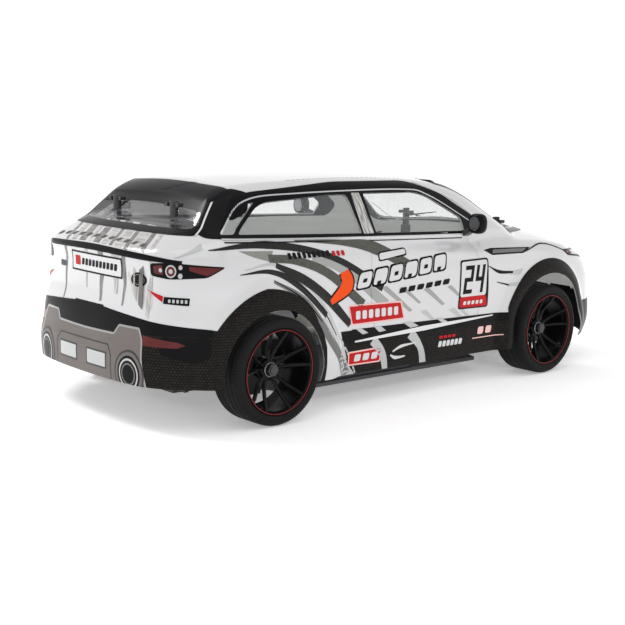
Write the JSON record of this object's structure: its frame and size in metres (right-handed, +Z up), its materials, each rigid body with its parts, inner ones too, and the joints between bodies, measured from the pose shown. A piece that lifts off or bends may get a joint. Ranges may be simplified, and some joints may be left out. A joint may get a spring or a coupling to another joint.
{
  "type": "rc drift car",
  "caption": "Radio-controlled drift car with a painted SUV-coupe shell, spoked wheels, independent suspension, steering and shaft drive.",
  "frame": {"origin": "on the ground, at the middle of the car's length, on its centre line", "axes": "+X towards the nose, +Y towards the car's left, +Z up"},
  "size_m": [0.4332, 0.199, 0.1479],
  "materials": {
    "shell_white": "glossy",
    "black_plastic": "satin",
    "chassis_grey": "satin",
    "foam_black": "matte",
    "battery_dark": "satin",
    "switch_red": "satin",
    "steel": "satin",
    "brass": "satin",
    "gear_white": "satin",
    "arm_grey": "satin",
    "rim_black": "glossy",
    "tyre_rubber": "matte",
    "shock_red": "anodised",
    "link_orange": "anodised"
  },
  "bodies": {
    "chassis": {"chassis_plate": "chassis_grey", "bulkhead_front": "chassis_grey", "bulkhead_rear": "chassis_grey", "front_bumper": "foam_black", "body_posts": "black_plastic", "battery_pack": "battery_dark", "receiver_unit": "black_plastic", "motor": "steel", "servo": "black_plastic", "screws": "steel"},
    "shell": {"body_shell": "shell_white", "mirrors": "black_plastic", "body_clips": "black_plastic"},
    "switch": {"power_switch": "switch_red"},
    "motor_pinion": {"pinion_gear": "brass"},
    "centre_drive": {"centre_shaft": "steel"},
    "front_spool": {"spool_front": "steel"},
    "rear_spool": {"spool_rear": "steel"},
    "horn": {"servo_horn": "gear_white"},
    "link": {"drag_link": "link_orange"},
    "arm_front_left": {"lower_arm_front_left": "arm_grey"},
    "link_front_left": {"upper_link_front_left": "arm_grey"},
    "shock_front_left": {"shock_body_front_left": "shock_red"},
    "rod_front_left": {"shock_rod_front_left": "steel"},
    "shaft_front_left": {"dogbone_front_left": "steel"},
    "wheel_front_left": {"axle_front_left": "steel", "rim_front_left": "rim_black", "tyre_front_left": "tyre_rubber"},
    "hub_left": {"c_hub_left": "arm_grey"},
    "steering_left": {"knuckle_left": "arm_grey"},
    "rod_left": {"tie_rod_left": "steel"},
    "arm_front_right": {"lower_arm_front_right": "arm_grey"},
    "link_front_right": {"upper_link_front_right": "arm_grey"},
    "shock_front_right": {"shock_body_front_right": "shock_red"},
    "rod_front_right": {"shock_rod_front_right": "steel"},
    "shaft_front_right": {"dogbone_front_right": "steel"},
    "wheel_front_right": {"axle_front_right": "steel", "rim_front_right": "rim_black", "tyre_front_right": "tyre_rubber"},
    "hub_right": {"c_hub_right": "arm_grey"},
    "steering_right": {"knuckle_right": "arm_grey"},
    "rod_right": {"tie_rod_right": "steel"},
    "arm_rear_left": {"lower_arm_rear_left": "arm_grey"},
    "link_rear_left": {"upper_link_rear_left": "arm_grey"},
    "shock_rear_left": {"shock_body_rear_left": "shock_red"},
    "rod_rear_left": {"shock_rod_rear_left": "steel"},
    "shaft_rear_left": {"dogbone_rear_left": "steel"},
    "wheel_rear_left": {"axle_rear_left": "steel", "rim_rear_left": "rim_black", "tyre_rear_left": "tyre_rubber"},
    "carrier_left": {"hub_carrier_left": "arm_grey"},
    "arm_rear_right": {"lower_arm_rear_right": "arm_grey"},
    "link_rear_right": {"upper_link_rear_right": "arm_grey"},
    "shock_rear_right": {"shock_body_rear_right": "shock_red"},
    "rod_rear_right": {"shock_rod_rear_right": "steel"},
    "shaft_rear_right": {"dogbone_rear_right": "steel"},
    "wheel_rear_right": {"axle_rear_right": "steel", "rim_rear_right": "rim_black", "tyre_rear_right": "tyre_rubber"},
    "carrier_right": {"hub_carrier_right": "arm_grey"}
  },
  "joints": [
    {"name": "suspension_front_left", "type": "hinge", "parent": "chassis", "child": "arm_front_left", "pos_m": [0.1217, 0.024, 0.017], "axis": [1, 0, 0], "range_deg": [-8, 5], "stiffness_Nm_per_rad": 1.6, "springref_deg": -5.16},
    {"name": "upper_link_front_left", "type": "hinge", "parent": "chassis", "child": "link_front_left", "pos_m": [0.1217, 0.024, 0.049], "axis": [1, 0, 0], "range_deg": [-8, 5]},
    {"name": "upright_front_left", "type": "hinge", "parent": "arm_front_left", "child": "hub_left", "pos_m": [0.1217, 0.06, 0.017], "axis": [1, 0, 0], "range_deg": [-5, 8]},
    {"name": "shock_swing_front_left", "type": "hinge", "parent": "chassis", "child": "shock_front_left", "pos_m": [0.1387, 0.026, 0.072], "axis": [1, 0, 0], "range_deg": [-0.63, 0.39]},
    {"name": "shock_travel_front_left", "type": "slide", "parent": "shock_front_left", "child": "rod_front_left", "axis": [0, 0.3651, -0.931], "range_m": [-0.00192, 0.00307]},
    {"name": "shaft_spin_front_left", "type": "hinge", "parent": "arm_front_left", "child": "shaft_front_left", "pos_m": [0.1217, 0.04, 0.033], "axis": [0, 1, 0], "continuous": true},
    {"name": "steer_left", "type": "hinge", "parent": "hub_left", "child": "steering_left", "pos_m": [0.1217, 0.06, 0.033], "axis": [0, 0, 1], "range_deg": [-25, 25]},
    {"name": "wheel_spin_front_left", "type": "hinge", "parent": "steering_left", "child": "wheel_front_left", "pos_m": [0.1217, 0.0815, 0.033], "axis": [0, 1, 0], "continuous": true},
    {"name": "suspension_front_right", "type": "hinge", "parent": "chassis", "child": "arm_front_right", "pos_m": [0.1217, -0.024, 0.017], "axis": [-1, 0, 0], "range_deg": [-8, 5], "stiffness_Nm_per_rad": 1.6, "springref_deg": -5.16},
    {"name": "upper_link_front_right", "type": "hinge", "parent": "chassis", "child": "link_front_right", "pos_m": [0.1217, -0.024, 0.049], "axis": [-1, 0, 0], "range_deg": [-8, 5]},
    {"name": "upright_front_right", "type": "hinge", "parent": "arm_front_right", "child": "hub_right", "pos_m": [0.1217, -0.06, 0.017], "axis": [-1, 0, 0], "range_deg": [-5, 8]},
    {"name": "shock_swing_front_right", "type": "hinge", "parent": "chassis", "child": "shock_front_right", "pos_m": [0.1387, -0.026, 0.072], "axis": [-1, 0, 0], "range_deg": [-0.63, 0.39]},
    {"name": "shock_travel_front_right", "type": "slide", "parent": "shock_front_right", "child": "rod_front_right", "axis": [0, -0.3651, -0.931], "range_m": [-0.00192, 0.00307]},
    {"name": "shaft_spin_front_right", "type": "hinge", "parent": "arm_front_right", "child": "shaft_front_right", "pos_m": [0.1217, -0.04, 0.033], "axis": [0, 1, 0], "continuous": true},
    {"name": "steer_right", "type": "hinge", "parent": "hub_right", "child": "steering_right", "pos_m": [0.1217, -0.06, 0.033], "axis": [0, 0, 1], "range_deg": [-25, 25]},
    {"name": "wheel_spin_front_right", "type": "hinge", "parent": "steering_right", "child": "wheel_front_right", "pos_m": [0.1217, -0.0815, 0.033], "axis": [0, 1, 0], "continuous": true},
    {"name": "suspension_rear_left", "type": "hinge", "parent": "chassis", "child": "arm_rear_left", "pos_m": [-0.1383, 0.024, 0.017], "axis": [1, 0, 0], "range_deg": [-8, 5], "stiffness_Nm_per_rad": 1.6, "springref_deg": -5.16},
    {"name": "upper_link_rear_left", "type": "hinge", "parent": "chassis", "child": "link_rear_left", "pos_m": [-0.1383, 0.024, 0.049], "axis": [1, 0, 0], "range_deg": [-8, 5]},
    {"name": "upright_rear_left", "type": "hinge", "parent": "arm_rear_left", "child": "carrier_left", "pos_m": [-0.1383, 0.06, 0.017], "axis": [1, 0, 0], "range_deg": [-5, 8]},
    {"name": "shock_swing_rear_left", "type": "hinge", "parent": "chassis", "child": "shock_rear_left", "pos_m": [-0.1553, 0.026, 0.072], "axis": [1, 0, 0], "range_deg": [-0.63, 0.39]},
    {"name": "shock_travel_rear_left", "type": "slide", "parent": "shock_rear_left", "child": "rod_rear_left", "axis": [0, 0.3651, -0.931], "range_m": [-0.00192, 0.00307]},
    {"name": "shaft_spin_rear_left", "type": "hinge", "parent": "arm_rear_left", "child": "shaft_rear_left", "pos_m": [-0.1383, 0.04, 0.033], "axis": [0, 1, 0], "continuous": true},
    {"name": "wheel_spin_rear_left", "type": "hinge", "parent": "carrier_left", "child": "wheel_rear_left", "pos_m": [-0.1383, 0.0815, 0.033], "axis": [0, 1, 0], "continuous": true},
    {"name": "suspension_rear_right", "type": "hinge", "parent": "chassis", "child": "arm_rear_right", "pos_m": [-0.1383, -0.024, 0.017], "axis": [-1, 0, 0], "range_deg": [-8, 5], "stiffness_Nm_per_rad": 1.6, "springref_deg": -5.16},
    {"name": "upper_link_rear_right", "type": "hinge", "parent": "chassis", "child": "link_rear_right", "pos_m": [-0.1383, -0.024, 0.049], "axis": [-1, 0, 0], "range_deg": [-8, 5]},
    {"name": "upright_rear_right", "type": "hinge", "parent": "arm_rear_right", "child": "carrier_right", "pos_m": [-0.1383, -0.06, 0.017], "axis": [-1, 0, 0], "range_deg": [-5, 8]},
    {"name": "shock_swing_rear_right", "type": "hinge", "parent": "chassis", "child": "shock_rear_right", "pos_m": [-0.1553, -0.026, 0.072], "axis": [-1, 0, 0], "range_deg": [-0.63, 0.39]},
    {"name": "shock_travel_rear_right", "type": "slide", "parent": "shock_rear_right", "child": "rod_rear_right", "axis": [0, -0.3651, -0.931], "range_m": [-0.00192, 0.00307]},
    {"name": "shaft_spin_rear_right", "type": "hinge", "parent": "arm_rear_right", "child": "shaft_rear_right", "pos_m": [-0.1383, -0.04, 0.033], "axis": [0, 1, 0], "continuous": true},
    {"name": "wheel_spin_rear_right", "type": "hinge", "parent": "carrier_right", "child": "wheel_rear_right", "pos_m": [-0.1383, -0.0815, 0.033], "axis": [0, 1, 0], "continuous": true},
    {"name": "front_spool_spin", "type": "hinge", "parent": "chassis", "child": "front_spool", "pos_m": [0.1217, 0, 0.033], "axis": [0, 1, 0], "continuous": true},
    {"name": "rear_spool_spin", "type": "hinge", "parent": "chassis", "child": "rear_spool", "pos_m": [-0.1383, 0, 0.033], "axis": [0, 1, 0], "continuous": true},
    {"name": "centre_drive_spin", "type": "hinge", "parent": "chassis", "child": "centre_drive", "pos_m": [-0.0083, 0, 0.033], "axis": [1, 0, 0], "continuous": true},
    {"name": "motor_pinion_spin", "type": "hinge", "parent": "chassis", "child": "motor_pinion", "pos_m": [-0.0243, 0.0269, 0.029], "axis": [1, 0, 0], "continuous": true},
    {"name": "servo_horn_turn", "type": "hinge", "parent": "chassis", "child": "horn", "pos_m": [0.0877, -0.022, 0.037], "axis": [0, 0, 1], "range_deg": [-25, 25]},
    {"name": "drag_link_turn", "type": "hinge", "parent": "horn", "child": "link", "pos_m": [0.0717, -0.022, 0.042], "axis": [0, 0, 1], "range_deg": [-25, 25]},
    {"name": "tie_rod_swing_left", "type": "hinge", "parent": "link", "child": "rod_left", "pos_m": [0.1057, 0.024, 0.0365], "axis": [1, 0, 0], "range_deg": [-8, 5]},
    {"name": "tie_rod_swing_right", "type": "hinge", "parent": "link", "child": "rod_right", "pos_m": [0.1057, -0.024, 0.0365], "axis": [-1, 0, 0], "range_deg": [-8, 5]},
    {"name": "shell_lift", "type": "slide", "parent": "chassis", "child": "shell", "axis": [0, 0, 1], "range_m": [0, 0.14]},
    {"name": "power_switch_slide", "type": "slide", "parent": "chassis", "child": "switch", "axis": [1, 0, 0], "range_m": [0, 0.0028]}
  ],
  "couplings": [
    {"joint": "upper_link_front_left", "follows": "suspension_front_left", "ratio": 1},
    {"joint": "upright_front_left", "follows": "suspension_front_left", "ratio": -1},
    {"joint": "shock_swing_front_left", "follows": "suspension_front_left", "ratio": 0.07864},
    {"joint": "shock_travel_front_left", "follows": "suspension_front_left", "m_per_rad": -0.021942},
    {"joint": "shaft_spin_front_left", "follows": "wheel_spin_rear_left", "ratio": 1},
    {"joint": "wheel_spin_front_left", "follows": "wheel_spin_rear_left", "ratio": 1},
    {"joint": "upper_link_front_right", "follows": "suspension_front_right", "ratio": 1},
    {"joint": "upright_front_right", "follows": "suspension_front_right", "ratio": -1},
    {"joint": "shock_swing_front_right", "follows": "suspension_front_right", "ratio": 0.07864},
    {"joint": "shock_travel_front_right", "follows": "suspension_front_right", "m_per_rad": -0.021942},
    {"joint": "shaft_spin_front_right", "follows": "wheel_spin_rear_left", "ratio": 1},
    {"joint": "steer_right", "follows": "steer_left", "ratio": 1},
    {"joint": "wheel_spin_front_right", "follows": "wheel_spin_rear_left", "ratio": 1},
    {"joint": "upper_link_rear_left", "follows": "suspension_rear_left", "ratio": 1},
    {"joint": "upright_rear_left", "follows": "suspension_rear_left", "ratio": -1},
    {"joint": "shock_swing_rear_left", "follows": "suspension_rear_left", "ratio": 0.07864},
    {"joint": "shock_travel_rear_left", "follows": "suspension_rear_left", "m_per_rad": -0.021942},
    {"joint": "shaft_spin_rear_left", "follows": "wheel_spin_rear_left", "ratio": 1},
    {"joint": "upper_link_rear_right", "follows": "suspension_rear_right", "ratio": 1},
    {"joint": "upright_rear_right", "follows": "suspension_rear_right", "ratio": -1},
    {"joint": "shock_swing_rear_right", "follows": "suspension_rear_right", "ratio": 0.07864},
    {"joint": "shock_travel_rear_right", "follows": "suspension_rear_right", "m_per_rad": -0.021942},
    {"joint": "shaft_spin_rear_right", "follows": "wheel_spin_rear_left", "ratio": 1},
    {"joint": "wheel_spin_rear_right", "follows": "wheel_spin_rear_left", "ratio": 1},
    {"joint": "front_spool_spin", "follows": "wheel_spin_rear_left", "ratio": 1},
    {"joint": "rear_spool_spin", "follows": "wheel_spin_rear_left", "ratio": 1},
    {"joint": "centre_drive_spin", "follows": "wheel_spin_rear_left", "ratio": 2.2},
    {"joint": "motor_pinion_spin", "follows": "wheel_spin_rear_left", "ratio": -6.1111},
    {"joint": "servo_horn_turn", "follows": "steer_left", "ratio": 1},
    {"joint": "drag_link_turn", "follows": "steer_left", "ratio": -1},
    {"joint": "tie_rod_swing_left", "follows": "suspension_front_left", "ratio": 1},
    {"joint": "tie_rod_swing_right", "follows": "suspension_front_right", "ratio": 1}
  ]
}
